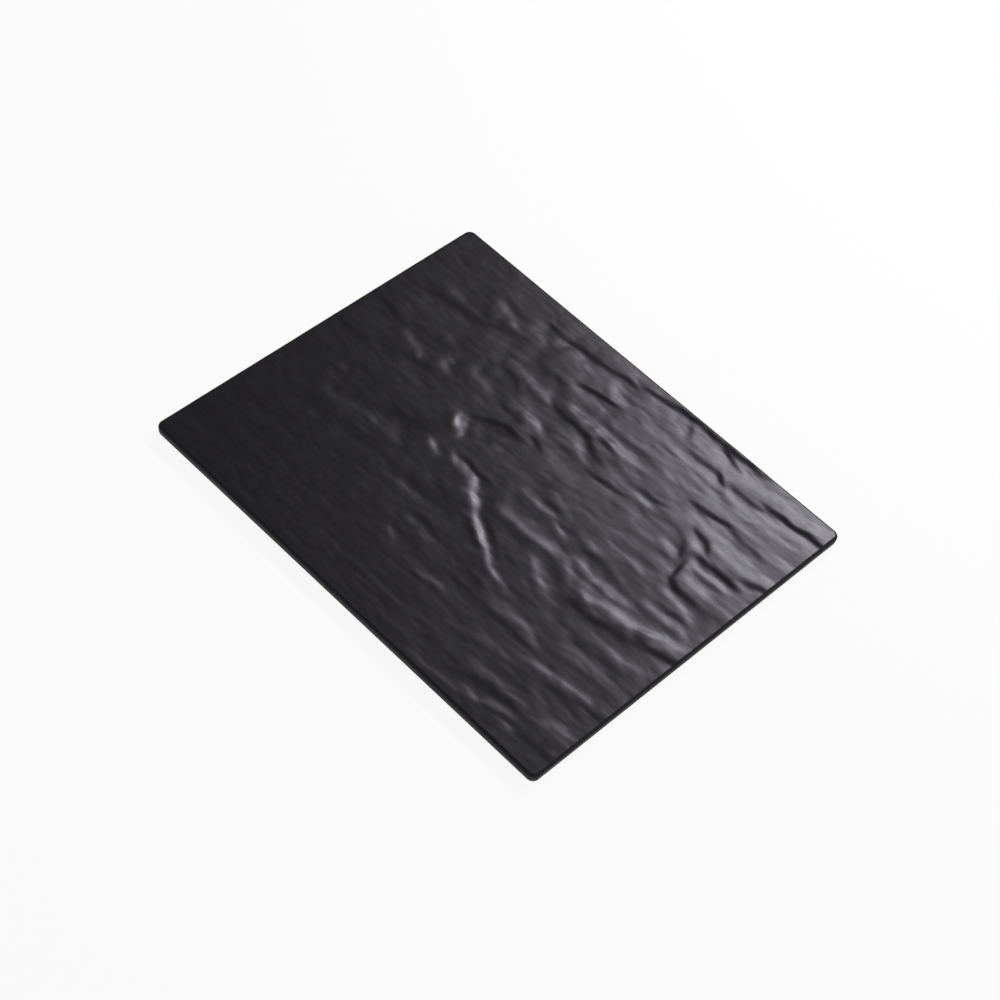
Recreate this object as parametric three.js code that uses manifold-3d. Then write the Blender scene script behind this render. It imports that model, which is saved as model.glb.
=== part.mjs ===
import * as THREE from "three";
import { mergeVertices } from "three/addons/utils/BufferGeometryUtils.js";
import Module from "manifold-3d";

// Rectangular melamine platter with a riven-slate top, standing on four stuck-on silicone feet.
// Millimetres, Z up, table at z = 0, long side along X, the front towards -Y.

// Driving dimensions
const LENGTH = 325;
const WIDTH = 265;
const SIDE_HEIGHT = 7.5;
const DECK_THICKNESS = 4;
const CORNER_RADIUS = 5;
const FOOT_DIAMETER = 14;
const FOOT_HEIGHT = 4;

// Platter moulding
const EDGE_ROUND = 1.8;
const EDGE_RAMP = 6;
const RAMP_CORNER_RADIUS = 1;
const RELIEF_MEAN_DEPTH = 0.75;
const SIDE_DRAFT = 0.4;
const SKIRT_WIDTH = 5;
const SKIRT_ROUND = 0.8;
const HOLLOW_FILLET = 1.5;
const HOLLOW_CORNER_RADIUS = 8;
const BOSS_DIAMETER = 22;
const BOSS_ROUND = 0.8;
const BOSS_RECESS = 1;
const SEAT_DEPTH = 1;
const SEAT_CLEARANCE = 0.5;

// Feet and the adhesive that holds them
const FOOT_TAPER = 1;
const FOOT_ROUND = 1;
const FOOT_INSET = 30;
const ADHESIVE_THICKNESS = 0.5;
const ADHESIVE_MARGIN = 0.5;

// Levels, from the table up
const SEAT_CEILING_Z = FOOT_HEIGHT + ADHESIVE_THICKNESS;
const BOSS_FACE_Z = SEAT_CEILING_Z - SEAT_DEPTH;
const SKIRT_Z = BOSS_FACE_Z - BOSS_RECESS;
const TOP_Z = SKIRT_Z + SIDE_HEIGHT;
const DECK_UNDER_Z = TOP_Z - DECK_THICKNESS;
const DECK_MEAN_Z = TOP_Z - RELIEF_MEAN_DEPTH;

// Facets
const CORNER_STEPS = 6;
const ROUND_STEPS = 3;
const TURNED_STEPS = 24;
const RELIEF_CELLS_X = 56;
const RELIEF_CELLS_Y = 86;

const wasm = await Module();
wasm.setup();

// Slate relief: steps where the layers of stone broke away.
// Each row is x0, y0, x1, y1, drop, bow, width. The step runs from (x0, y0) to (x1, y1) with its middle
// pushed bow to the left of the run, and the surface falls by drop from the right of the run to the left,
// over about twice its width.
const CLEFTS = [
  // long broken ledge across the middle
  [-53, -12.5, -35, -15, 1.2, 0, 2.8],
  [-35, -9, -3, -12.5, 1.9, 0, 3.0],
  [-28, -6, -5, -6, -0.7, 0, 1.6],
  [-11, -16.5, 10, -29.5, 1.7, 1.5, 3.4],
  [8, -29.5, 40, -47.5, 1.6, 1, 3.2],
  [36, -47.5, 60, -54.5, 0.8, -2, 2.6],
  // shallow basin behind the ledge
  [-50, 17, -40, 0, 2.4, 0, 3.8],
  [-38, 28, -15, 31.5, -0.9, 1, 2.2],
  [-11, 40, -1, 35.5, -0.8, 0, 1.8],
  [104, 52.5, 110, 45, -1.0, 0, 2.0],
  // bump and steps by the right-hand side
  [115, 43, 118, 28, -1.1, 0, 1.9],
  [118, 26.5, 140, 23.5, -1.1, -1, 2.1],
  [117, 51.5, 148, 52.5, -1.1, 0, 2.1],
  [104, 66, 119, 58, -1.0, 1, 1.9],
  [149, 60.5, 165, 64.5, -0.9, 0, 1.9],
  // straight ridge behind the basin
  [-13, 75.5, 46, 75, 1.0, 0, 3.4],
  [-20, 68, 15, 67, -1.1, -1, 2.2],
  [87, 79.5, 114, 83, -0.9, -0.5, 2.0],
  // long grooves near the back edge
  [-42, 114.5, 2, 119.5, -0.9, 0, 2.4],
  [3, 123.5, 33, 126.5, -0.7, 0, 2.2],
  [-58, 105.5, -25, 107, 0.75, 2, 3.4],
  [-9, 108.5, 4, 103.5, 0.8, 0, 3.2],
  [71, 127, 88, 121.5, -0.9, 0, 2.1],
  [82, 109.5, 91, 103, -0.9, 0, 1.8],
  [95, 108, 118, 108.5, -0.7, 0, 1.9],
  [118, 112, 165, 117.5, -1.1, 0, 1.9],
  [-22, 92.5, 5, 97.5, -1.0, 1, 2.0],
  // low steps on the left
  [-104, 102.5, -82, 95.5, 0.9, 0, 3.4],
  [-73, 103, -63, 103, 0.8, 0, 3.4],
  [-138, 74, -96, 80, -1.0, 1, 4.5],
  [-100, 81, -72, 92, -0.8, 0, 4.0],
  [-62, 73, -25, 68.5, 0.85, 0, 3.6],
  [-63, 65.5, -44, 59, -0.7, 1.5, 2.2],
  [-38, 50, -10, 46.5, 0.9, 1.5, 3.2],
  [-76, 48, -53, 46, 0.9, 0, 3.6],
  [-92, 57, -72, 60, -0.7, 0, 4.0],
  [-155, 44, -128, 41.5, -0.7, 0, 3.0],
  [-122, 37, -101, 30.5, 1.0, 0, 3.2],
  [-92, 38, -82, 34, 0.8, 0, 3.2],
  [-128, -35, -95, -31, 0.9, 0, 4.5],
  [-98, -28.5, -58, -27.5, 1.0, 1, 4.5],
  // streaks in front of the ledge
  [6, -15, 62, -13, 0.75, 0, 3.4],
  [90, -22, 161, -4.5, 0.8, -2.5, 3.8],
  [84, -33, 140, -23, -0.8, -1.5, 3.4],
  [136, -22, 166, -13.5, -0.9, -0.5, 2.4],
  [132, -102, 161, -96.5, 0.7, 0, 3.4],
  [96, -122.5, 127, -111, 0.8, 0, 3.2],
];

// A step dies out away from its line within a few of its widths, and fades at its two ends.
const CLEFT_REACH = 5;
const CLEFT_END_FADE = 7;

// Its line wavers, and it is taller in some patches than in others.
const WAVER = 2;
const WAVER_LENGTH = 12;
const PATCHINESS = 0.5;
const PATCH_SIZE = 9;

// Between the steps the stone has long low waves along its grain, which runs a little askew.
const GRAIN_LENGTH = 44;
const GRAIN_WIDTH = 12;
const GRAIN_HEIGHT = 0.2;
const GRAIN_OCTAVES = 2;
const GRAIN_TILT = 0.06;

// Each use of the noise starts at a place of its own in it, so that no two look alike.
const SIDEWAYS_START = 50;
const PATCH_START = 90;
const OCTAVE_START = 7;

function smoothStep(low, high, value) {
  const share = Math.min(Math.max((value - low) / (high - low), 0), 1);
  return share * share * (3 - 2 * share);
}

// Smooth noise with waves about one unit long, from a slope of scattered direction at each whole point.
function softNoise(x, y) {
  const column = Math.floor(x);
  const row = Math.floor(y);
  let height = 0;
  for (const pointX of [column, column + 1]) {
    for (const pointY of [row, row + 1]) {
      const scatter = Math.sin(pointX * 127.1 + pointY * 311.7) * 43758.5453;
      const angle = 2 * Math.PI * (scatter - Math.floor(scatter));
      const slope = Math.cos(angle) * (x - pointX) + Math.sin(angle) * (y - pointY);
      const nearX = smoothStep(0, 1, 1 - Math.abs(x - pointX));
      const nearY = smoothStep(0, 1, 1 - Math.abs(y - pointY));
      height += slope * nearX * nearY;
    }
  }
  return height;
}

function cleftHeight(x, y, [x0, y0, x1, y1, drop, bow, width]) {
  const run = Math.hypot(x1 - x0, y1 - y0);
  const unitX = (x1 - x0) / run;
  const unitY = (y1 - y0) / run;
  const along = (x - x0) * unitX + (y - y0) * unitY;
  const share = Math.min(Math.max(along / run, 0), 1);
  const across = (y - y0) * unitX - (x - x0) * unitY - 4 * bow * share * (1 - share);
  const startFade = smoothStep(-CLEFT_END_FADE, CLEFT_END_FADE, along);
  const endFade = smoothStep(-CLEFT_END_FADE, CLEFT_END_FADE, run - along);
  const step = Math.tanh(across / width) * Math.exp(-Math.abs(across) / (CLEFT_REACH * width));
  return -0.5 * drop * step * startFade * endFade;
}

function grainHeight(x, y) {
  let height = 0;
  for (let octave = 0; octave < GRAIN_OCTAVES; octave += 1) {
    const finer = 2 ** octave;
    const along = (finer * x) / GRAIN_LENGTH + OCTAVE_START * octave;
    const across = (finer * (y - GRAIN_TILT * x)) / GRAIN_WIDTH;
    height += (GRAIN_HEIGHT / finer) * softNoise(along, across);
  }
  return height;
}

function reliefZ(x, y) {
  const waverX = x + WAVER * softNoise(x / WAVER_LENGTH, y / WAVER_LENGTH);
  const waverY = y + WAVER * softNoise(x / WAVER_LENGTH + SIDEWAYS_START, y / WAVER_LENGTH);
  let steps = 0;
  for (const cleft of CLEFTS) {
    steps += cleftHeight(waverX, waverY, cleft);
  }
  const strength = 1 + PATCHINESS * softNoise(x / PATCH_SIZE, y / PATCH_SIZE + PATCH_START);
  return DECK_MEAN_Z + steps * strength + grainHeight(x, y);
}

// Closed-body helpers
function toSolid(geometry) {
  geometry.deleteAttribute("normal");
  geometry.deleteAttribute("uv");
  const merged = mergeVertices(geometry, 1e-5);
  const index = merged.index.array;
  const triangles = [];
  for (let i = 0; i < index.length; i += 3) {
    const [a, b, c] = [index[i], index[i + 1], index[i + 2]];
    if (a !== b && b !== c && c !== a) {
      triangles.push(a, b, c);
    }
  }
  const vertProperties = new Float32Array(merged.attributes.position.array);
  const triVerts = new Uint32Array(triangles);
  return new wasm.Manifold(new wasm.Mesh({ numProp: 3, vertProperties, triVerts }));
}

function toMesh(name, solid, material) {
  const { vertProperties, triVerts } = solid.getMesh();
  const geometry = new THREE.BufferGeometry();
  geometry.setAttribute("position", new THREE.BufferAttribute(vertProperties, 3));
  geometry.setIndex(new THREE.BufferAttribute(triVerts, 1));
  geometry.computeVertexNormals();
  const mesh = new THREE.Mesh(geometry, material);
  mesh.name = name;
  return mesh;
}

function turned(profile) {
  const points = profile.map(([radius, z]) => new THREE.Vector2(radius, z));
  return new THREE.LatheGeometry(points, TURNED_STEPS).rotateX(Math.PI / 2);
}

// Points (inset, z) on an arc of the wall's section, angles in degrees.
function arc(centreInset, centreZ, radius, start, turn) {
  const points = [];
  for (let step = 0; step <= ROUND_STEPS; step += 1) {
    const angle = THREE.MathUtils.degToRad(start + (turn * step) / ROUND_STEPS);
    points.push([centreInset + radius * Math.cos(angle), centreZ + radius * Math.sin(angle)]);
  }
  return points;
}

// One rounded rectangle, inset from the outside of the platter, anticlockwise seen from above.
function outline(inset, cornerRadius, z) {
  const points = [];
  for (let corner = 0; corner < 4; corner += 1) {
    const signX = corner === 0 || corner === 3 ? 1 : -1;
    const signY = corner < 2 ? 1 : -1;
    const centreX = signX * (LENGTH / 2 - inset - cornerRadius);
    const centreY = signY * (WIDTH / 2 - inset - cornerRadius);
    for (let step = 0; step <= CORNER_STEPS; step += 1) {
      const angle = (corner + step / CORNER_STEPS) * (Math.PI / 2);
      points.push([centreX + cornerRadius * Math.cos(angle), centreY + cornerRadius * Math.sin(angle), z]);
    }
  }
  return points;
}

// A closed skin through a list of outlines, from the inside of the hollow, round the skirt, to the top.
function skinThrough(outlines) {
  const count = outlines[0].length;
  const firstZ = outlines[0][0][2];
  const lastZ = outlines[outlines.length - 1][0][2];
  const positions = [...outlines.flat(), [0, 0, firstZ], [0, 0, lastZ]];
  const firstCentre = positions.length - 2;
  const lastCentre = positions.length - 1;
  const lastStart = (outlines.length - 1) * count;
  const index = [];
  for (let i = 0; i < count; i += 1) {
    const next = (i + 1) % count;
    index.push(firstCentre, next, i);
    index.push(lastCentre, lastStart + i, lastStart + next);
    for (let ring = 0; ring < outlines.length - 1; ring += 1) {
      const low = ring * count;
      const high = low + count;
      index.push(low + i, low + next, high + next);
      index.push(low + i, high + next, high + i);
    }
  }
  const geometry = new THREE.BufferGeometry();
  geometry.setAttribute("position", new THREE.Float32BufferAttribute(positions.flat(), 3));
  geometry.setIndex(index);
  return geometry;
}

// Platter: one moulding, hollow underneath inside its skirt. Its edge is eased down from the deck's mean
// level, and a ramp inside that edge lets the heights of the stone die out towards it.
function platterBlank() {
  const hollowSide = [
    ...arc(SKIRT_WIDTH + HOLLOW_FILLET, DECK_UNDER_Z - HOLLOW_FILLET, HOLLOW_FILLET, 90, 90),
    ...arc(SKIRT_WIDTH - SKIRT_ROUND, SKIRT_Z + SKIRT_ROUND, SKIRT_ROUND, 0, -90),
  ];
  const outerSide = [
    ...arc(SIDE_DRAFT + SKIRT_ROUND, SKIRT_Z + SKIRT_ROUND, SKIRT_ROUND, -90, -90),
    ...arc(EDGE_ROUND, DECK_MEAN_Z - EDGE_ROUND, EDGE_ROUND, 180, -90),
  ];
  return toSolid(
    skinThrough([
      ...hollowSide.map(([inset, z]) => outline(inset, HOLLOW_CORNER_RADIUS + SKIRT_WIDTH - inset, z)),
      ...outerSide.map(([inset, z]) => outline(inset, CORNER_RADIUS - inset, z)),
      outline(EDGE_ROUND + EDGE_RAMP, RAMP_CORNER_RADIUS, TOP_Z),
    ]),
  );
}

function reliefCutter() {
  const margin = 2;
  const geometry = new THREE.BoxGeometry(
    LENGTH + margin,
    WIDTH + margin,
    margin,
    RELIEF_CELLS_X,
    RELIEF_CELLS_Y,
  );
  const position = geometry.attributes.position;
  for (let i = 0; i < position.count; i += 1) {
    const lower = position.getZ(i) < 0;
    position.setZ(i, lower ? reliefZ(position.getX(i), position.getY(i)) : TOP_Z + margin);
  }
  return toSolid(geometry);
}

function footBoss() {
  const radius = BOSS_DIAMETER / 2;
  return turned([
    [0, BOSS_FACE_Z],
    [radius - BOSS_ROUND, BOSS_FACE_Z],
    [radius, BOSS_FACE_Z + BOSS_ROUND],
    [radius, DECK_UNDER_Z],
    [0, (DECK_UNDER_Z + TOP_Z) / 2],
  ]);
}

function footSeat() {
  const radius = FOOT_DIAMETER / 2 + SEAT_CLEARANCE;
  return turned([
    [0, SKIRT_Z],
    [radius, SKIRT_Z],
    [radius, SEAT_CEILING_Z],
    [0, SEAT_CEILING_Z],
  ]);
}

// Foot: silicone pad, flat on the table and flat against its adhesive
function footPad() {
  const topRadius = FOOT_DIAMETER / 2;
  const lowRadius = topRadius - FOOT_TAPER;
  return turned([
    [0, 0],
    [lowRadius - FOOT_ROUND, 0],
    [lowRadius - FOOT_ROUND + FOOT_ROUND * Math.SQRT1_2, FOOT_ROUND * (1 - Math.SQRT1_2)],
    [lowRadius, FOOT_ROUND],
    [topRadius, BOSS_FACE_Z - FOOT_ROUND],
    [topRadius, FOOT_HEIGHT],
    [0, FOOT_HEIGHT],
  ]);
}

// Adhesive: die-cut double-sided disc between the foot and the ceiling of its seat
function adhesiveDisc() {
  const radius = FOOT_DIAMETER / 2 - ADHESIVE_MARGIN;
  return turned([
    [0, FOOT_HEIGHT],
    [radius, FOOT_HEIGHT],
    [radius, SEAT_CEILING_Z],
    [0, SEAT_CEILING_Z],
  ]);
}

const FOOT_PLACES = [
  { name: "front_left", signX: -1, signY: -1 },
  { name: "front_right", signX: 1, signY: -1 },
  { name: "back_right", signX: 1, signY: 1 },
  { name: "back_left", signX: -1, signY: 1 },
].map(({ name, signX, signY }) => ({
  name,
  x: signX * (LENGTH / 2 - FOOT_INSET),
  y: signY * (WIDTH / 2 - FOOT_INSET),
}));

function melamine() {
  return new THREE.MeshStandardMaterial({ color: 0x1f1e22, roughness: 0.4, metalness: 0 });
}

function silicone() {
  return new THREE.MeshStandardMaterial({ color: 0x2b2b2d, roughness: 0.75, metalness: 0 });
}

function acrylicTape() {
  return new THREE.MeshStandardMaterial({ color: 0xd8d6cf, roughness: 0.6, metalness: 0 });
}

const assembly = new THREE.Group();
assembly.name = "slate_platter";

let platter = platterBlank().subtract(reliefCutter());
for (const { x, y } of FOOT_PLACES) {
  platter = platter.add(toSolid(footBoss().translate(x, y, 0)));
  platter = platter.subtract(toSolid(footSeat().translate(x, y, 0)));
}
assembly.add(toMesh("platter", platter, melamine()));

for (const { name, x, y } of FOOT_PLACES) {
  assembly.add(toMesh(`adhesive_disc_${name}`, toSolid(adhesiveDisc().translate(x, y, 0)), acrylicTape()));
  assembly.add(toMesh(`foot_${name}`, toSolid(footPad().translate(x, y, 0)), silicone()));
}

export default assembly;
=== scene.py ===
import math

import bmesh
import bpy
import numpy as np
from mathutils import Matrix, Vector, noise


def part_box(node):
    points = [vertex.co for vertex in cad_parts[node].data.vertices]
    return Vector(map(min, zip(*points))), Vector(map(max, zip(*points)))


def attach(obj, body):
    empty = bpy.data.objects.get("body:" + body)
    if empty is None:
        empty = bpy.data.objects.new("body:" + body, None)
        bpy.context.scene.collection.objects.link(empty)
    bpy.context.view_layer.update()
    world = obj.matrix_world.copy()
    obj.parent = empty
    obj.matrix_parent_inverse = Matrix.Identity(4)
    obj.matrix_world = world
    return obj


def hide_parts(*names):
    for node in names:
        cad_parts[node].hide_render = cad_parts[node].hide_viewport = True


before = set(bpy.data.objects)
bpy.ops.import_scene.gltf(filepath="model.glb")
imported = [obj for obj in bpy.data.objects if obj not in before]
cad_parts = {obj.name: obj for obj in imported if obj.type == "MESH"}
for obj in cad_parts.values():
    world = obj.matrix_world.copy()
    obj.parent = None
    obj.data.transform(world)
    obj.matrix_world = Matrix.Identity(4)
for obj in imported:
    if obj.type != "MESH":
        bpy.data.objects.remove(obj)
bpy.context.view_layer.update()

# Platter
# One compression moulding in black melamine: a thin deck with an eased edge, a short skirt and a hollow
# underneath with four round bosses. The mould was taken from split stone, so the deck has broken ledges.
# Sizes are in millimetres. The outline, the heights and the places of the feet come from the frame.
MM = 0.001
platter_low, platter_high = (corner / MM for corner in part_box("platter"))
foot_low, foot_high = (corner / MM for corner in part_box("foot_back_right"))
tape_low, tape_high = (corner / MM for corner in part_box("adhesive_disc_back_right"))
HALF_LENGTH = platter_high.x
HALF_WIDTH = platter_high.y
TOP_Z = platter_high.z
SKIRT_Z = platter_low.z
FOOT_X = (foot_low.x + foot_high.x) / 2
FOOT_Y = (foot_low.y + foot_high.y) / 2
FOOT_SIDES = {"front_left": (-1, -1), "front_right": (1, -1), "back_right": (1, 1), "back_left": (-1, 1)}
CORNER_RADIUS = 5.0
EDGE_ROUND = 1.8
EDGE_STEPS = 5
SIDE_DRAFT = 0.4
SIDE_STEPS = 3
SIDE_WAVE_DEPTH = 0.12
SIDE_WAVE_LENGTH = 9.0
SIDE_WAVE_HEIGHT = 3.0
SKIRT_WIDTH = 5.0
SKIRT_ROUND = 0.8
DECK_THICKNESS = 4.0
HOLLOW_FILLET = 1.5
HOLLOW_CORNER_RADIUS = 8.0
ROUND_STEPS = 3
BOSS_RADIUS = 11.0
BOSS_ROUND = 0.8
BOSS_FILLET = 0.8
FLAT_STRIP = 0.5
SEAT_CLEARANCE = 0.5
SEAT_DEPTH = 1.0
SEAT_RADIUS = (foot_high.x - foot_low.x) / 2 + SEAT_CLEARANCE
SEAT_CEILING_Z = tape_high.z
BOSS_FACE_Z = SEAT_CEILING_Z - SEAT_DEPTH
BOSS_STEPS = 56
RUBBED_RIM = 0.3

# cells of the deck's grid, of about a millimetre, which crowd towards the edges as a sine does at this angle
DECK_COLUMNS = 286
DECK_ROWS = 234
DECK_CROWDING = 0.8

# Steps in the stone, where its layers broke away: x0, y0, x1, y1, drop, bow, width, in millimetres from the
# middle. A step runs from (x0, y0) to (x1, y1) with its middle pushed bow to the left of the run, and the
# surface falls by drop from the right of the run to the left, over about twice its width.
CLEFTS = [
    # long broken ledge across the middle
    (-50, -10.5, -39, -15.5, 1.5, 0, 3.8),
    (-33, -6.5, -24, -11.5, 1.1, 0, 3.0),
    (-24, -7, -15, -12.5, 1.1, 0, 3.0),
    (-15, -7.5, -5, -14, 1.3, 0, 3.0),
    (-27, -5, -3, -7, -0.9, 0, 1.6),
    (-9, -16.5, 6, -25.5, 1.9, 0, 4.2),
    (8, -29, 17, -36, 1.6, 0, 3.0),
    (17, -33.5, 26, -40.5, 1.6, 0, 3.0),
    (26, -38.5, 34, -44.5, 1.3, 0, 2.8),
    (36, -45.5, 58, -53.5, 0.9, -1, 2.4),
    (12, -26, 36, -38.5, -0.5, 1, 1.6),
    (10, -37, 28, -45.5, -0.5, 0, 2.0),
    (-24, -32, 0, -36, -0.6, 0, 4.5),
    # shallow basin behind the ledge
    (-51, 15.5, -45.5, 4.5, 1.9, 0, 3.6),
    (-46, 17, -40, 5, 1.9, 0, 3.6),
    (-44, 22.5, -36, 28.5, -0.6, 0, 1.8),
    (-37, 28, -16, 32, -1.3, 1, 1.9),
    (-11, 40, -1, 35.5, -0.8, 0, 1.8),
    (7, 48.5, 16, 49.5, -0.45, 0, 2.0),
    (30, 46.5, 55, 51, -0.65, -0.8, 1.9),
    (77, 54.5, 104, 54.5, -0.3, 3, 2.2),
    (104, 52.5, 110, 45, -1.0, 0, 2.0),
    (95, 47, 106, 40.5, 0.5, 0, 3.6),
    (8, 38, 32, 34, 0.3, 0, 4.0),
    (27, 21, 42, 16, 0.45, 0, 2.6),
    (27, 12.5, 40, 10, -0.45, 0, 2.2),
    (10, 4.5, 40, 6, 0.5, 0, 2.4),
    (44, 3.5, 60, -1, 0.5, 0, 2.6),
    (62, 9, 80, 8, 0.35, 0, 3.0),
    (68, 2, 95, 4, -0.6, 0, 2.6),
    (92, 19, 104, 16, 0.4, 0, 3.0),
    # bump and steps by the right-hand side
    (115, 43, 118, 28, -1.1, 0, 1.9),
    (118, 26.5, 140, 23.5, -1.1, -1, 2.1),
    (140, 24, 165, 24, -0.35, 0, 3.6),
    (119, 35, 141, 34, 0.65, 0, 3.4),
    (123, 41.5, 144, 41.5, -0.3, 0, 1.6),
    (121, 46, 145, 46, 0.3, 0, 2.2),
    (117, 51.5, 148, 52.5, -1.1, 0, 2.1),
    (139, 53, 143, 58, -0.4, 0, 1.8),
    (104, 66, 119, 58, -1.0, 1, 1.9),
    (107, 60.5, 115, 52.5, 0.55, 0, 3.0),
    (149, 60.5, 165, 64.5, -0.9, 0, 1.9),
    (118, 65.5, 148, 64.5, 0.35, 0, 3.0),
    (120, 19, 150, 13.5, 0.5, 0, 3.0),
    (128, 8.5, 147, 9, -0.4, 0, 1.8),
    (118, 2, 155, 3, 0.45, 0, 2.8),
    # straight ridge behind the basin
    (-13, 75.5, 46, 75, 1.0, 0, 3.4),
    (-20, 68, 15, 67, -1.1, -1, 2.2),
    (12, 66.5, 19, 60, -0.6, 0, 2.0),
    (18, 70.5, 31, 69.5, -0.5, 0, 1.6),
    (16, 60, 32, 57.5, -0.8, 0, 3.0),
    (6, 59, 17, 53.5, 0.4, 0, 2.6),
    (60, 61.5, 78, 64, -0.6, 0, 1.9),
    (60, 57.5, 72, 56.5, 0.6, 0, 2.8),
    (87, 79.5, 114, 83, -0.9, -0.5, 2.0),
    (114, 82.5, 143, 80, -0.45, 0, 2.2),
    (95, 73, 160, 71, 0.35, 0, 4.0),
    (10, 81.5, 58, 84, -0.35, 0, 2.0),
    (10, 87, 70, 87, 0.35, 0, 3.5),
    # long grooves near the back edge
    (-74, 113, -40, 114.5, -0.6, 0, 2.0),
    (-42, 114.5, 2, 119.5, -0.9, 0, 2.4),
    (3, 123.5, 33, 126.5, -0.7, 0, 2.2),
    (28, 128.5, 104, 129.5, -1.2, 0, 2.4),
    (-54, 105.5, -28, 107, 0.95, 2, 4.6),
    (-8, 107.5, 5, 103, 1.1, 0, 4.0),
    (44, 125, 53, 115.5, -0.4, 0, 2.2),
    (71, 127, 88, 121.5, -0.9, 0, 2.1),
    (55, 116, 112, 117.5, 0.3, 0, 4.0),
    (58, 108.5, 80, 107.5, -0.6, 0, 2.2),
    (82, 109.5, 91, 103, -0.9, 0, 1.8),
    (95, 107, 118, 107.5, -0.8, 0, 2.6),
    (118, 112, 165, 117.5, -1.1, 0, 1.9),
    (130, 122, 161, 124, 0.35, 0, 3.2),
    (-22, 92.5, 5, 97.5, -1.0, 1, 2.0),
    (-24, 87, -8, 88, 0.25, 0, 3.4),
    (25, 101.5, 88, 101, 0.35, 0, 4.0),
    (93, 102.5, 112, 101, 0.25, 0, 3.0),
    (92, 97, 104, 95.5, -0.3, 0, 2.0),
    # low steps on the left
    (-104, 102.5, -82, 95.5, 0.9, 0, 3.4),
    (-73, 103, -63, 103, 0.8, 0, 3.4),
    (-104, 107, -94, 107, -0.35, 0, 2.0),
    (-138, 74, -96, 80, -1.0, 1, 4.5),
    (-100, 81, -72, 92, -0.8, 0, 4.0),
    (-142, 84, -116, 86, 0.6, 0, 4.0),
    (-52, 86, -24, 84, -0.6, 0, 4.0),
    (-62, 73, -25, 68.5, 0.85, 0, 3.6),
    (-63, 65.5, -44, 59, -0.7, 1.5, 2.2),
    (-40, 63, -26, 63, -0.4, 0, 2.2),
    (-32, 50.5, -10, 46, 1.2, 1, 3.8),
    (-42, 43.5, -24, 41, -0.6, 0, 2.0),
    (-76, 48, -53, 46, 1.1, 0, 4.0),
    (-92, 57, -72, 60, -0.7, 0, 4.0),
    (-155, 44, -128, 41.5, -0.7, 0, 3.0),
    (-125, 44, -95, 50, -0.6, 0, 2.8),
    (-122, 37, -101, 31, 1.2, 0, 4.2),
    (-92, 38.5, -82, 35, 1.1, 0, 3.8),
    (-108, 24, -91, 28, -0.6, 0, 2.6),
    (-104, 15, -84, 14, 0.5, 0, 3.0),
    (-157, 12, -138, 12, -0.5, 0, 3.0),
    (-84, -13, -62, -10, -0.6, 0, 4.0),
    (-122, -34, -98, -31, 1.3, 0, 4.5),
    (-98, -28.5, -58, -27.5, 1.0, 1, 4.5),
    # streaks in front of the ledge
    (14, -14.5, 62, -12.5, 1.2, 0, 5.2),
    (10, -20, 48, -19.5, -0.4, 0, 3.0),
    (73, -5.5, 82, -6.5, 1.0, 0, 3.4),
    (88, -8, 116, -5, 0.95, 0, 5.0),
    (69, -11, 80, -20, 0.8, 0, 4.0),
    (57, -16.5, 78, -25, -0.4, 0, 2.6),
    (90, -20.5, 158, -4, 1.35, -2.5, 4.6),
    (84, -33, 140, -23, -0.8, -1.5, 3.4),
    (136, -22, 166, -13.5, -0.9, -0.5, 2.4),
    (52, -26, 78, -37, 0.8, 0, 4.4),
    (130, -37.5, 155, -36.5, 0.45, 0, 3.6),
    (110, -48, 152, -45.5, -0.35, 0, 3.4),
    (108, -55.5, 140, -53, 0.4, 0, 4.0),
    (-52, -40, -16, -42, -0.5, 0, 3.5),
    (-44, -48.5, -14, -46, 0.55, 0, 3.6),
    (36, -63.5, 50, -64, -0.5, 0, 2.6),
    (68, -66.5, 98, -66.5, 0.5, 2.5, 4.4),
    (34, -72, 100, -72.5, -0.3, 0, 2.6),
    (-14, -57.5, 4, -56.5, -0.4, 0, 2.2),
    (-19, -62, 12, -61.5, 0.55, 0, 2.8),
    (-19, -74.5, -7, -80.5, 0.5, 0, 2.6),
    (18, -85, 38, -81.5, 0.6, 0, 3.0),
    (70, -87, 100, -84, 0.4, 0, 4.0),
    (100, -80.5, 120, -77, 0.95, 0, 3.6),
    (124, -75, 146, -72, 0.6, 0, 3.6),
    (122, -83, 165, -75, -0.55, 0, 2.8),
    (82, -104, 126, -102, 0.45, 0, 4.0),
    (134, -102, 158, -96.5, 0.65, 0, 3.6),
    (90, -112, 128, -107, -0.5, 0, 2.8),
    (96, -121.5, 122, -112, 0.9, 0, 4.0),
    (108, -120.5, 130, -115.5, -0.45, 0, 2.2),
    (121, -119.5, 133, -120, 0.55, 0, 2.6),
    (136, -118, 162, -116, -0.5, 0, 3.6),
    (52, -127.5, 94, -124.5, 0.5, 0, 2.6),
]

# a step is drawn tighter than listed, dies away over some of its widths and fades out at its ends
CLEFT_TIGHTNESS = 0.84
CLEFT_REACH = 5
CLEFT_END_FADE = 7.0

# the steps wander sideways, and come out stronger in some patches than in others
WAVER = 2.0
WAVER_LENGTH = 12.0
PATCHINESS = 0.5
PATCH_SIZE = 9.0

# streaks of the stone's grain: each octave is half as long, wide and high as the one before
GRAIN_LENGTH = 44.0
GRAIN_WIDTH = 12.0
GRAIN_HEIGHT = 0.2
GRAIN_OCTAVES = 3
GRAIN_TILT = 0.06

# shallow pits along the grain, which go down between two levels of their noise
PIT_LENGTH = 13.0
PIT_WIDTH = 5.5
PIT_DEPTH = 0.08
PIT_RIM = 0.05
PIT_FLOOR = 0.4

# the deck's mean level lies this far below the top, and what stands higher than this above it is worn
RELIEF_MEAN_DEPTH = 1.15
WORN_FROM = 0.8

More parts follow.
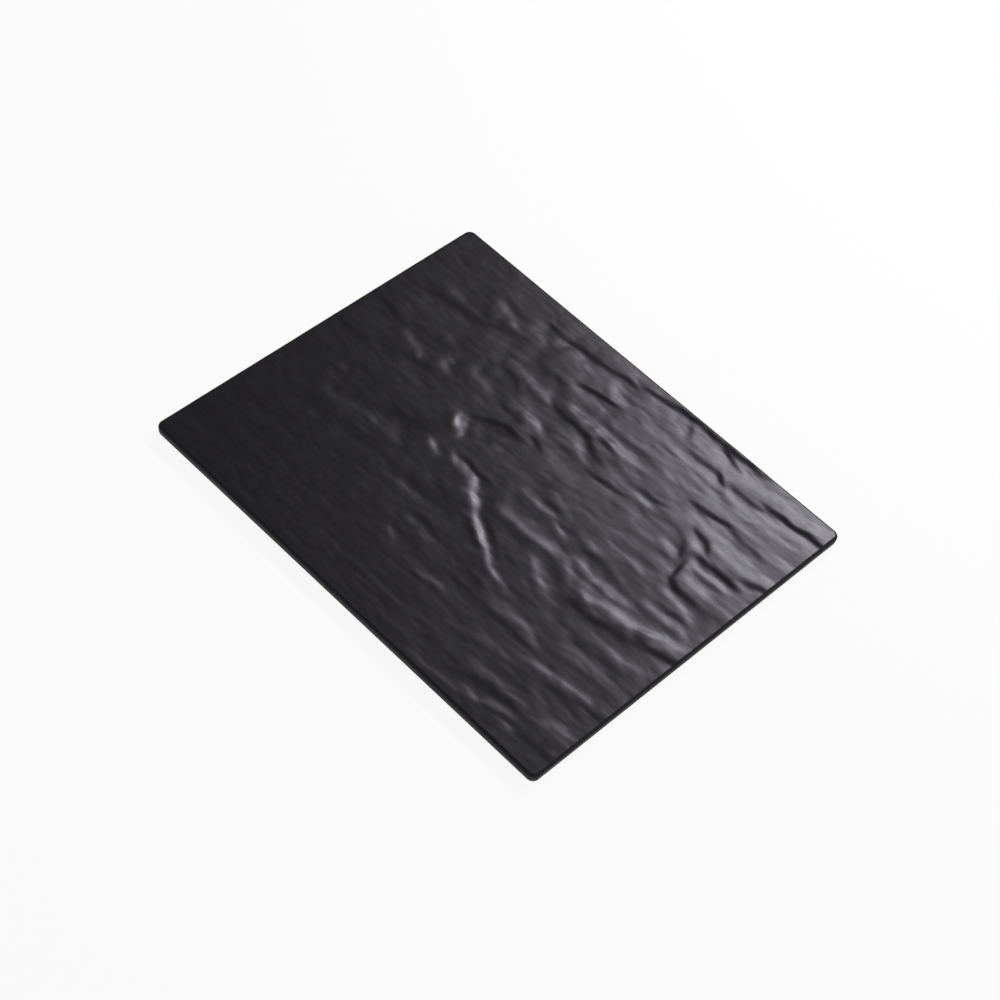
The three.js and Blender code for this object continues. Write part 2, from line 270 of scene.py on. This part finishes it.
# starts in the noise that keep its patterns apart, and large numbers that scatter a grid point to an angle
SIDEWAYS_START = 50
PATCH_START = 90
PIT_START = 30
OCTAVE_START = 7
SCATTER_X = 127.1
SCATTER_Y = 311.7
SCATTER_GAIN = 43758.5453


def smooth_step(low, high, values):
    """Rises smoothly from 0 at low to 1 at high."""
    share = np.clip((values - low) / (high - low), 0, 1)
    return share * share * (3 - 2 * share)


def soft_noise(x, y):
    """Smooth noise with waves about one unit long, at arrays of x and y."""
    column, row = np.floor(x), np.floor(y)
    total = np.zeros_like(x)
    for i in (0, 1):
        for j in (0, 1):
            scatter = np.sin((column + i) * SCATTER_X + (row + j) * SCATTER_Y) * SCATTER_GAIN
            angle = math.tau * (scatter % 1)
            dx, dy = x - column - i, y - row - j
            slope = np.cos(angle) * dx + np.sin(angle) * dy
            total += slope * smooth_step(0, 1, 1 - abs(dx)) * smooth_step(0, 1, 1 - abs(dy))
    return total


def cleft_height(x, y, cleft):
    """Height that one step gives the stone, at arrays of x and y."""
    x0, y0, x1, y1, drop, bow, listed_width = cleft
    width = CLEFT_TIGHTNESS * listed_width
    run = math.hypot(x1 - x0, y1 - y0)
    unit_x, unit_y = (x1 - x0) / run, (y1 - y0) / run
    along = (x - x0) * unit_x + (y - y0) * unit_y
    share = np.clip(along / run, 0, 1)
    across = (y - y0) * unit_x - (x - x0) * unit_y - 4 * bow * share * (1 - share)
    fade = smooth_step(-CLEFT_END_FADE, CLEFT_END_FADE, along)
    fade *= smooth_step(-CLEFT_END_FADE, CLEFT_END_FADE, run - along)
    return -drop / 2 * np.tanh(across / width) * np.exp(-np.abs(across) / (CLEFT_REACH * width)) * fade


def slate_relief(x, y):
    """Height of the split stone above the deck's mean level, at arrays of x and y."""
    waver_x = x + WAVER * soft_noise(x / WAVER_LENGTH, y / WAVER_LENGTH)
    waver_y = y + WAVER * soft_noise(x / WAVER_LENGTH + SIDEWAYS_START, y / WAVER_LENGTH)
    steps = sum(cleft_height(waver_x, waver_y, cleft) for cleft in CLEFTS)
    strength = 1 + PATCHINESS * soft_noise(x / PATCH_SIZE, y / PATCH_SIZE + PATCH_START)
    grain = 0
    for octave in range(GRAIN_OCTAVES):
        along = 2**octave * x / GRAIN_LENGTH + OCTAVE_START * octave
        across = 2**octave * (y - GRAIN_TILT * x) / GRAIN_WIDTH
        grain += soft_noise(along, across) / 2**octave
    pits = smooth_step(PIT_RIM, PIT_FLOOR, soft_noise(x / PIT_LENGTH + PIT_START, y / PIT_WIDTH))
    relief = steps * strength + GRAIN_HEIGHT * grain - PIT_DEPTH * pits
    headroom = RELIEF_MEAN_DEPTH - WORN_FROM
    worn = WORN_FROM + headroom * np.tanh((relief - WORN_FROM) / headroom)
    return np.where(relief < WORN_FROM, relief, worn)


def deck_points(grid):
    """Places of the deck's grid (-1 to 1 each way): crowded towards the edges, with round corners."""
    half = np.array([HALF_LENGTH, HALF_WIDTH]) - EDGE_ROUND
    radius = CORNER_RADIUS - EDGE_ROUND
    flat = half * np.sin(grid * DECK_CROWDING) / math.sin(DECK_CROWDING)
    corner = np.clip((np.abs(flat) - half + radius) / radius, 0, 1)
    rounded = corner * np.sqrt(1 - corner[:, ::-1] ** 2 / 2)
    return np.sign(flat) * (np.minimum(np.abs(flat), half - radius) + radius * rounded)


def extrude_rim(bm, rim):
    """Extrudes an open rim on the spot, and gives the new rim's edges and vertices."""
    made = bmesh.ops.extrude_edge_only(bm, edges=rim)["geom"]
    edges = [e for e in made if isinstance(e, bmesh.types.BMEdge) and e.is_boundary]
    ring = [v for v in made if isinstance(v, bmesh.types.BMVert)]
    return edges, ring


def extend_rim(bm, rim, inset, corner_radius, z):
    """Extrudes an open rim to a rounded rectangle at that inset from the outside, at height z."""
    edges, ring = extrude_rim(bm, rim)
    core = Vector((HALF_LENGTH - inset - corner_radius, HALF_WIDTH - inset - corner_radius))
    for v in ring:
        centre = Vector((max(-core.x, min(core.x, v.co.x)), max(-core.y, min(core.y, v.co.y))))
        outward = (v.co.xy - centre).normalized()
        v.co.xy = centre + corner_radius * outward
        v.co.z = z
    return edges, ring


def arc(centre, centre_z, radius, start, turn):
    """Points (inset or radius, z) along an arc of a section, angles in degrees."""
    angles = [math.radians(start + turn * step / ROUND_STEPS) for step in range(ROUND_STEPS + 1)]
    return [(centre + radius * math.cos(a), centre_z + radius * math.sin(a)) for a in angles]


bm = bmesh.new()
bmesh.ops.create_grid(bm, x_segments=DECK_COLUMNS, y_segments=DECK_ROWS, size=1)
deck_places = deck_points(np.array([v.co.xy for v in bm.verts]))
deck_mean_z = TOP_Z - RELIEF_MEAN_DEPTH
for v, place, height in zip(bm.verts, deck_places, slate_relief(*deck_places.T)):
    v.co = (*place, deck_mean_z + height)
satin_x = HALF_LENGTH - EDGE_ROUND - RUBBED_RIM
satin_y = HALF_WIDTH - EDGE_ROUND - RUBBED_RIM
satin_faces = set()
for face in bm.faces:
    centre = face.calc_center_median()
    if abs(centre.x) < satin_x and abs(centre.y) < satin_y:
        satin_faces.add(face)

# the eased edge takes the relief with it and lets it die out down the side
rim = [e for e in bm.edges if e.is_boundary]
for step in range(1, EDGE_STEPS + 1):
    angle = math.pi / 2 * step / EDGE_STEPS
    inset = EDGE_ROUND * (1 - math.sin(angle))
    rim, ring = extend_rim(bm, rim, inset, CORNER_RADIUS - inset, 0)
    x, y = np.array([v.co.xy for v in ring]).T
    for v, height in zip(ring, slate_relief(x, y)):
        v.co.z = deck_mean_z - EDGE_ROUND * (1 - math.cos(angle)) + height * math.cos(angle)

# the side is a little uneven, as if trimmed by hand
side_top_z = deck_mean_z - EDGE_ROUND
side_low_z = SKIRT_Z + SKIRT_ROUND
for step in range(1, SIDE_STEPS):
    share = step / SIDE_STEPS
    z = side_top_z + (side_low_z - side_top_z) * share
    rim, ring = extend_rim(bm, rim, SIDE_DRAFT * share, CORNER_RADIUS - SIDE_DRAFT * share, z)
    for v in ring:
        place = Vector((v.co.x / SIDE_WAVE_LENGTH, v.co.y / SIDE_WAVE_LENGTH, z / SIDE_WAVE_HEIGHT))
        v.co.xy -= v.co.xy.normalized() * SIDE_WAVE_DEPTH * abs(noise.noise(place))

# the wall turns in under the skirt and up into the hollow, as far as the rim of its ceiling
outer_foot = arc(SIDE_DRAFT + SKIRT_ROUND, SKIRT_Z + SKIRT_ROUND, SKIRT_ROUND, 180, 90)
for inset, z in outer_foot:
    rim, _ = extend_rim(bm, rim, inset, CORNER_RADIUS - inset, z)
hollow_z = TOP_Z - DECK_THICKNESS
inner_foot = arc(SKIRT_WIDTH - SKIRT_ROUND, SKIRT_Z + SKIRT_ROUND, SKIRT_ROUND, -90, 90)
hollow_fillet = arc(SKIRT_WIDTH + HOLLOW_FILLET, hollow_z - HOLLOW_FILLET, HOLLOW_FILLET, 180, -90)
hollow_rim = (SKIRT_WIDTH + HOLLOW_FILLET + FLAT_STRIP, hollow_z)
for inset, z in [*inner_foot, *hollow_fillet, hollow_rim]:
    rim, _ = extend_rim(bm, rim, inset, HOLLOW_CORNER_RADIUS + SKIRT_WIDTH - inset, z)

# each boss is drawn down from the hollow's ceiling, and the ceiling is filled in round them
boss_rims = []
for side_x, side_y in FOOT_SIDES.values():
    centre = Vector((side_x * FOOT_X, side_y * FOOT_Y, 0))
    circle = bmesh.ops.create_circle(
        bm,
        segments=BOSS_STEPS,
        radius=BOSS_RADIUS + BOSS_FILLET + FLAT_STRIP,
        matrix=Matrix.Translation(centre + Vector((0, 0, hollow_z))),
    )["verts"]
    boss_rims.append((centre, list({e for v in circle for e in v.link_edges})))
bmesh.ops.triangle_fill(bm, edges=rim + [e for _, edges in boss_rims for e in edges], use_beauty=True)
half_round = BOSS_ROUND * (1 - math.sqrt(0.5))
boss_profile = [
    (BOSS_RADIUS + BOSS_FILLET, hollow_z),
    (BOSS_RADIUS, hollow_z - BOSS_FILLET),
    (BOSS_RADIUS, BOSS_FACE_Z + BOSS_ROUND),
    (BOSS_RADIUS - half_round, BOSS_FACE_Z + half_round),
    (BOSS_RADIUS - BOSS_ROUND, BOSS_FACE_Z),
    (SEAT_RADIUS, BOSS_FACE_Z),
    (SEAT_RADIUS, SEAT_CEILING_Z),
]
for centre, edges in boss_rims:
    for radius, z in boss_profile:
        edges, ring = extrude_rim(bm, edges)
        for v in ring:
            v.co = centre + radius * (v.co - centre).xy.normalized().to_3d() + Vector((0, 0, z))
    bmesh.ops.contextual_create(bm, geom=edges)


def linear_colour(hex_colour):
    """A '#rrggbb' sRGB colour as linear RGBA."""
    channels = [int(hex_colour[i : i + 2], 16) / 255 for i in (1, 3, 5)]
    return [c / 12.92 if c <= 0.04045 else ((c + 0.055) / 1.055) ** 2.4 for c in channels] + [1]


def add_node(tree, kind, inputs=(), **settings):
    """Adds a node with its settings, and links or sets its inputs by name or number."""
    node = tree.nodes.new(kind)
    for name, value in settings.items():
        setattr(node, name, value)
    for key, value in dict(inputs).items():
        if isinstance(value, bpy.types.NodeSocket):
            tree.links.new(value, node.inputs[key])
        else:
            node.inputs[key].default_value = value
    return node


def new_material(name):
    """An empty node material and the output its shader goes to."""
    material = bpy.data.materials.new(name)
    material.use_nodes = True
    material.node_tree.nodes.clear()
    return material, material.node_tree, add_node(material.node_tree, "ShaderNodeOutputMaterial")


# Melamine resin, compression moulded, is black all through with a faint violet cast. The deck is satin, as
# the blasted mould left it: a soft, broad sheen, with smoother patches along the stone's grain and shinier
# ledges. The rim, the sides and the underside were rubbed to take off the flash, so they are dull and frame
# the deck with a dark line. The tooth of the blasting is about a tenth of a millimetre, and is drawn coarser
# so that it shows.
MELAMINE_DARK = "#171519"
MELAMINE_LIGHT = "#1d1b20"
SHEEN_TINT = "#f5f0ff"
SHINE_LENGTH = 9 * MM
SHINE_WIDTH = 3.5 * MM
SHINE_HEIGHT = 0.04 * MM
TOOTH_SIZE = 0.9 * MM
TOOTH_HEIGHT = 0.01 * MM
SATIN_ROUGHNESS = (0.345, 0.385)
SATIN_SPECULAR = 0.5
RUBBED_ROUGHNESS = (0.65, 0.75)
RUBBED_SPECULAR = 0.15

# ledges gain this gloss as the upward part of their normal falls from LEDGE_FROM to LEDGE_FULL
LEDGE_GLOSS = 0.08
LEDGE_FROM = 0.99
LEDGE_FULL = 0.95

# nearly all of a noise texture's values lie between these
NOISE_LOW = 0.3
NOISE_HIGH = 0.7


def black_melamine(name, roughness_range, specular_level):
    """Black melamine whose roughness varies in patches along the grain of the stone."""
    material, tree, output = new_material(name)
    coordinates = add_node(tree, "ShaderNodeTexCoord")
    place = coordinates.outputs["Object"]
    patch_scale = (1 / SHINE_LENGTH, 1 / SHINE_WIDTH, 1 / SHINE_WIDTH)
    along_grain = add_node(tree, "ShaderNodeMapping", {"Vector": place, "Scale": patch_scale}).outputs[0]
    patches = add_node(tree, "ShaderNodeTexNoise", {"Vector": along_grain, "Scale": 1, "Detail": 2})
    tooth = add_node(tree, "ShaderNodeTexNoise", {"Vector": place, "Scale": 1 / TOOTH_SIZE, "Detail": 2})
    colour = add_node(
        tree,
        "ShaderNodeMix",
        {
            "Factor": patches.outputs["Fac"],
            "A": linear_colour(MELAMINE_DARK),
            "B": linear_colour(MELAMINE_LIGHT),
        },
        data_type="RGBA",
    )
    matt = add_node(
        tree,
        "ShaderNodeMapRange",
        {
            "Value": patches.outputs["Fac"],
            "From Min": NOISE_LOW,
            "From Max": NOISE_HIGH,
            "To Min": roughness_range[0],
            "To Max": roughness_range[1],
        },
    )
    facing_up = add_node(tree, "ShaderNodeSeparateXYZ", {0: coordinates.outputs["Normal"]}).outputs["Z"]
    gloss = add_node(
        tree,
        "ShaderNodeMapRange",
        {
            "Value": facing_up,
            "From Min": LEDGE_FROM,
            "From Max": LEDGE_FULL,
            "To Min": 0,
            "To Max": LEDGE_GLOSS,
        },
    )
    roughness = add_node(
        tree,
        "ShaderNodeMath",
        {0: matt.outputs["Result"], 1: gloss.outputs["Result"]},
        operation="SUBTRACT",
    )
    patch_bump = add_node(
        tree,
        "ShaderNodeBump",
        {"Height": patches.outputs["Fac"], "Distance": SHINE_HEIGHT},
    )
    tooth_bump = add_node(
        tree,
        "ShaderNodeBump",
        {"Height": tooth.outputs["Fac"], "Distance": TOOTH_HEIGHT, "Normal": patch_bump.outputs["Normal"]},
    )
    shader = add_node(
        tree,
        "ShaderNodeBsdfPrincipled",
        {
            "Base Color": colour.outputs["Result"],
            "Roughness": roughness.outputs[0],
            "Normal": tooth_bump.outputs["Normal"],
            "IOR": 1.6,
            "Specular IOR Level": specular_level,
            "Specular Tint": linear_colour(SHEEN_TINT),
        },
    )
    tree.links.new(shader.outputs[0], output.inputs["Surface"])
    return material


satin_melamine = black_melamine("satin_moulded_melamine", SATIN_ROUGHNESS, SATIN_SPECULAR)
rubbed_melamine = black_melamine("rubbed_melamine", RUBBED_ROUGHNESS, RUBBED_SPECULAR)
platter_finishes = [satin_melamine, rubbed_melamine]
for face in bm.faces:
    finish = satin_melamine if face in satin_faces else rubbed_melamine
    face.material_index = platter_finishes.index(finish)

# edges that turn by more than this stay sharp
SHARP_ANGLE = math.radians(40)


def make_piece(name, bm, materials, node):
    """Turns a bmesh in millimetres into a piece that stands for a CAD node."""
    bmesh.ops.recalc_face_normals(bm, faces=bm.faces)
    bmesh.ops.scale(bm, vec=(MM, MM, MM), verts=bm.verts)
    mesh = bpy.data.meshes.new(name)
    bm.to_mesh(mesh)
    bm.free()
    mesh.shade_smooth()
    mesh.set_sharp_from_angle(angle=SHARP_ANGLE)
    for material in materials:
        mesh.materials.append(material)
    piece = bpy.data.objects.new(name, mesh)
    bpy.context.scene.collection.objects.link(piece)
    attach(piece, "root")
    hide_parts(node)


make_piece("moulded_platter", bm, platter_finishes, "platter")

# Adhesive discs
# Die-cut discs of double-sided acrylic tape, milky and soft, that hold each foot to the ceiling of its seat.
# The cut edge bulges a little where the tape is squeezed.
TAPE_RADIUS = (tape_high.x - tape_low.x) / 2
TAPE_BULGE = 0.12
TAPE_EDGE_STEPS = 4
SPIN_STEPS = 64
MERGE_DISTANCE = 0.0001


def spun(profile, centre):
    """A closed solid turned about an upright axis from (radius, z) points that start and end on it."""
    bm = bmesh.new()
    line = [bm.verts.new((centre[0] + radius, centre[1], z)) for radius, z in profile]
    edges = [bm.edges.new(pair) for pair in zip(line, line[1:])]
    bmesh.ops.spin(
        bm,
        geom=line + edges,
        cent=(*centre, 0),
        axis=(0, 0, 1),
        angle=math.tau,
        steps=SPIN_STEPS,
        use_merge=True,
    )
    bmesh.ops.remove_doubles(bm, verts=bm.verts, dist=MERGE_DISTANCE)
    return bm


# Acrylic foam tape, cast and die-cut, is a milky off-white that lets a little light in, so that its cut edge
# looks soft. Its cells are finer than this, and are drawn coarser so that they show.
TAPE_DARK = "#cfccc3"
TAPE_LIGHT = "#e2e0d9"
CELL_SIZE = 0.4 * MM
CELL_DEPTH = 0.05 * MM
MILKY_DEPTH = 0.5 * MM

acrylic_tape, tree, output = new_material("acrylic_foam_tape")
place = add_node(tree, "ShaderNodeTexCoord").outputs["Object"]
cells = add_node(tree, "ShaderNodeTexNoise", {"Vector": place, "Scale": 1 / CELL_SIZE, "Detail": 3})
colour = add_node(
    tree,
    "ShaderNodeMix",
    {"Factor": cells.outputs["Fac"], "A": linear_colour(TAPE_DARK), "B": linear_colour(TAPE_LIGHT)},
    data_type="RGBA",
)
bump = add_node(
    tree,
    "ShaderNodeBump",
    {"Height": cells.outputs["Fac"], "Strength": 0.3, "Distance": CELL_DEPTH},
)
shader = add_node(
    tree,
    "ShaderNodeBsdfPrincipled",
    {
        "Base Color": colour.outputs["Result"],
        "Roughness": 0.5,
        "IOR": 1.47,
        "Subsurface Weight": 0.3,
        "Subsurface Scale": MILKY_DEPTH,
        "Normal": bump.outputs["Normal"],
    },
)
tree.links.new(shader.outputs[0], output.inputs["Surface"])

tape_edge = []
for step in range(TAPE_EDGE_STEPS + 1):
    share = step / TAPE_EDGE_STEPS
    radius = TAPE_RADIUS - TAPE_BULGE * (2 * share - 1) ** 2
    tape_edge.append((radius, tape_low.z + share * (tape_high.z - tape_low.z)))
tape_profile = [(0, tape_low.z), *tape_edge, (0, tape_high.z)]
for side, (side_x, side_y) in FOOT_SIDES.items():
    bm = spun(tape_profile, (side_x * FOOT_X, side_y * FOOT_Y))
    make_piece(f"tape_disc_{side}", bm, [acrylic_tape], f"adhesive_disc_{side}")

# Feet
# Moulded silicone pads, tapered and rounded at the table, with a shallow dish underneath that grips. They
# are pressed onto the tape and stand a little proud of the skirt.
FOOT_RADIUS = (foot_high.x - foot_low.x) / 2
FOOT_TAPER = 1.0
FOOT_ROUND = 1.0
FOOT_NECK = 1.0
FOOT_NECK_Z = BOSS_FACE_Z - FOOT_NECK
DISH_RADIUS = 3.4
DISH_DEPTH = 0.35

# Silicone rubber, moulded in a matt tool, is dark grey and dull, with no clear highlight. It gathers dust,
# which shows as a faint cloudiness.
SILICONE_DARK = "#28282a"
SILICONE_DUSTY = "#38383a"
DUST_SIZE = 1.5 * MM
DUST_DEPTH = 0.05 * MM

grey_silicone, tree, output = new_material("grey_silicone")
place = add_node(tree, "ShaderNodeTexCoord").outputs["Object"]
dust = add_node(tree, "ShaderNodeTexNoise", {"Vector": place, "Scale": 1 / DUST_SIZE, "Detail": 4})
colour = add_node(
    tree,
    "ShaderNodeMix",
    {"Factor": dust.outputs["Fac"], "A": linear_colour(SILICONE_DARK), "B": linear_colour(SILICONE_DUSTY)},
    data_type="RGBA",
)
roughness = add_node(
    tree,
    "ShaderNodeMapRange",
    {
        "Value": dust.outputs["Fac"],
        "From Min": NOISE_LOW,
        "From Max": NOISE_HIGH,
        "To Min": 0.6,
        "To Max": 0.8,
    },
)
bump = add_node(
    tree,
    "ShaderNodeBump",
    {"Height": dust.outputs["Fac"], "Strength": 0.2, "Distance": DUST_DEPTH},
)
shader = add_node(
    tree,
    "ShaderNodeBsdfPrincipled",
    {
        "Base Color": colour.outputs["Result"],
        "Roughness": roughness.outputs["Result"],
        "Normal": bump.outputs["Normal"],
        "IOR": 1.41,
    },
)
tree.links.new(shader.outputs[0], output.inputs["Surface"])

foot_round = arc(FOOT_RADIUS - FOOT_TAPER - FOOT_ROUND, foot_low.z + FOOT_ROUND, FOOT_ROUND, -90, 90)
foot_profile = [
    (0, foot_low.z + DISH_DEPTH),
    (DISH_RADIUS - DISH_DEPTH, foot_low.z + DISH_DEPTH),
    (DISH_RADIUS, foot_low.z),
    *foot_round,
    (FOOT_RADIUS, FOOT_NECK_Z),
    (FOOT_RADIUS, foot_high.z),
    (0, foot_high.z),
]
for side, (side_x, side_y) in FOOT_SIDES.items():
    bm = spun(foot_profile, (side_x * FOOT_X, side_y * FOOT_Y))
    make_piece(f"silicone_foot_{side}", bm, [grey_silicone], f"foot_{side}")

# Studio
# A plain white floor under one long strip box behind the platter, in a pale room with a dark screen opposite
# the camera, so that the deck shows black and its steps catch the strip. Lengths are in metres, and azimuths
# run from the front towards the right.
FLOOR_SIZE = 24.0
FLOOR_GLOW = 0.9
FLOOR_PAPER = "#f6f6f6"
STRIP_LENGTH = 0.88
STRIP_HEIGHT = 0.13
STRIP_DISTANCE = 1.2
STRIP_AZIMUTH = 178.0
STRIP_ELEVATION = 41.5
STRIP_RADIANCE = 26.0

# The room is white up to a low height and then turns to its own level, or to the screen's on that side.
# Heights are sines of the elevation, and the screen's edges are cosines of the angle from its middle.
HORIZON_LEVEL = 1.0
ROOM_LEVEL = 0.62
SCREEN_LEVEL = 0.06
SCREEN_AZIMUTH = 217.0
WHITE_UP_TO = 0.12
DIM_FROM = 0.35
SCREEN_EDGE = -0.5
SCREEN_FULL = 0.2


def towards(azimuth, elevation):
    """The direction at an azimuth and an elevation in degrees."""
    turn, climb = math.radians(azimuth), math.radians(elevation)
    return Vector((math.sin(turn) * math.cos(climb), -math.cos(turn) * math.cos(climb), math.sin(climb)))


# White paper, matt. Most of what the eye gets from it is plain white, and the rest keeps the shadow.
white_floor, tree, output = new_material("white_floor")
rays = add_node(tree, "ShaderNodeLightPath")
seen = rays.outputs["Is Camera Ray"]
for kind in ("Is Glossy Ray", "Is Transmission Ray"):
    seen = add_node(tree, "ShaderNodeMath", {0: seen, 1: rays.outputs[kind]}, operation="ADD").outputs[0]
share = add_node(tree, "ShaderNodeMath", {0: seen, 1: FLOOR_GLOW}, operation="MULTIPLY").outputs[0]
paper = add_node(tree, "ShaderNodeBsdfDiffuse", {"Color": linear_colour(FLOOR_PAPER)})
glow = add_node(tree, "ShaderNodeEmission", {"Color": (1, 1, 1, 1), "Strength": 1})
white = add_node(tree, "ShaderNodeMixShader", {0: share, 1: paper.outputs[0], 2: glow.outputs[0]})
underneath = add_node(tree, "ShaderNodeNewGeometry").outputs["Backfacing"]
clear = add_node(tree, "ShaderNodeBsdfTransparent")
one_sided = add_node(tree, "ShaderNodeMixShader", {0: underneath, 1: white.outputs[0], 2: clear.outputs[0]})
tree.links.new(one_sided.outputs[0], output.inputs["Surface"])
white_floor.cycles.emission_sampling = "NONE"

bm = bmesh.new()
bmesh.ops.create_grid(bm, x_segments=1, y_segments=1, size=FLOOR_SIZE / 2)
floor_mesh = bpy.data.meshes.new("floor")
bm.to_mesh(floor_mesh)
bm.free()
floor_mesh.materials.append(white_floor)
floor = bpy.data.objects.new("floor", floor_mesh)
bpy.context.scene.collection.objects.link(floor)

strip_box = bpy.data.lights.new("strip_box", "AREA")
strip_box.shape = "RECTANGLE"
strip_box.size = STRIP_LENGTH
strip_box.size_y = STRIP_HEIGHT
strip_box.energy = STRIP_RADIANCE * math.pi * STRIP_LENGTH * STRIP_HEIGHT
strip_object = bpy.data.objects.new("strip_box", strip_box)
bpy.context.scene.collection.objects.link(strip_object)
towards_strip = towards(STRIP_AZIMUTH, STRIP_ELEVATION)
strip_object.location = STRIP_DISTANCE * towards_strip
strip_object.rotation_euler = towards_strip.to_track_quat("Z", "Y").to_euler()
strip_object.visible_camera = False

room = bpy.data.worlds.new("room")
room.use_nodes = True
tree = room.node_tree
tree.nodes.clear()
direction = add_node(tree, "ShaderNodeTexCoord").outputs["Generated"]
height = add_node(tree, "ShaderNodeSeparateXYZ", {0: direction})
screen_side = add_node(
    tree,
    "ShaderNodeVectorMath",
    {0: direction, 1: towards(SCREEN_AZIMUTH, 0)},
    operation="DOT_PRODUCT",
)
overhead = add_node(
    tree,
    "ShaderNodeMapRange",
    {
        "Value": screen_side.outputs["Value"],
        "From Min": SCREEN_EDGE,
        "From Max": SCREEN_FULL,
        "To Min": ROOM_LEVEL,
        "To Max": SCREEN_LEVEL,
    },
    interpolation_type="SMOOTHSTEP",
)
level = add_node(
    tree,
    "ShaderNodeMapRange",
    {
        "Value": height.outputs["Z"],
        "From Min": WHITE_UP_TO,
        "From Max": DIM_FROM,
        "To Min": HORIZON_LEVEL,
        "To Max": overhead.outputs["Result"],
    },
    interpolation_type="SMOOTHSTEP",
)
sky = add_node(tree, "ShaderNodeBackground", {"Color": (1, 1, 1, 1), "Strength": level.outputs["Result"]})
add_node(tree, "ShaderNodeOutputWorld", {"Surface": sky.outputs[0]})
bpy.context.scene.world = room

# Camera
# An 85 mm lens from the front right, looking down, rolled so that the platter's long sides run down to the
# right across the frame.
CAMERA_LENS = 85.0
CAMERA_AZIMUTH = 37.0
CAMERA_ELEVATION = 51.5
CAMERA_ROLL = 10.9
CAMERA_DISTANCE = 1412 * MM
CAMERA_TARGET = Vector((12.0, -11.4, TOP_Z)) * MM

camera_data = bpy.data.cameras.new("camera")
camera_data.lens = CAMERA_LENS
camera = bpy.data.objects.new("camera", camera_data)
bpy.context.scene.collection.objects.link(camera)
back = towards(CAMERA_AZIMUTH, CAMERA_ELEVATION)
facing = back.to_track_quat("Z", "Y").to_matrix() @ Matrix.Rotation(math.radians(CAMERA_ROLL), 3, "Z")
camera.matrix_world = Matrix.Translation(CAMERA_TARGET + CAMERA_DISTANCE * back) @ facing.to_4x4()
bpy.context.scene.camera = camera
bpy.context.scene.view_settings.view_transform = "Standard"
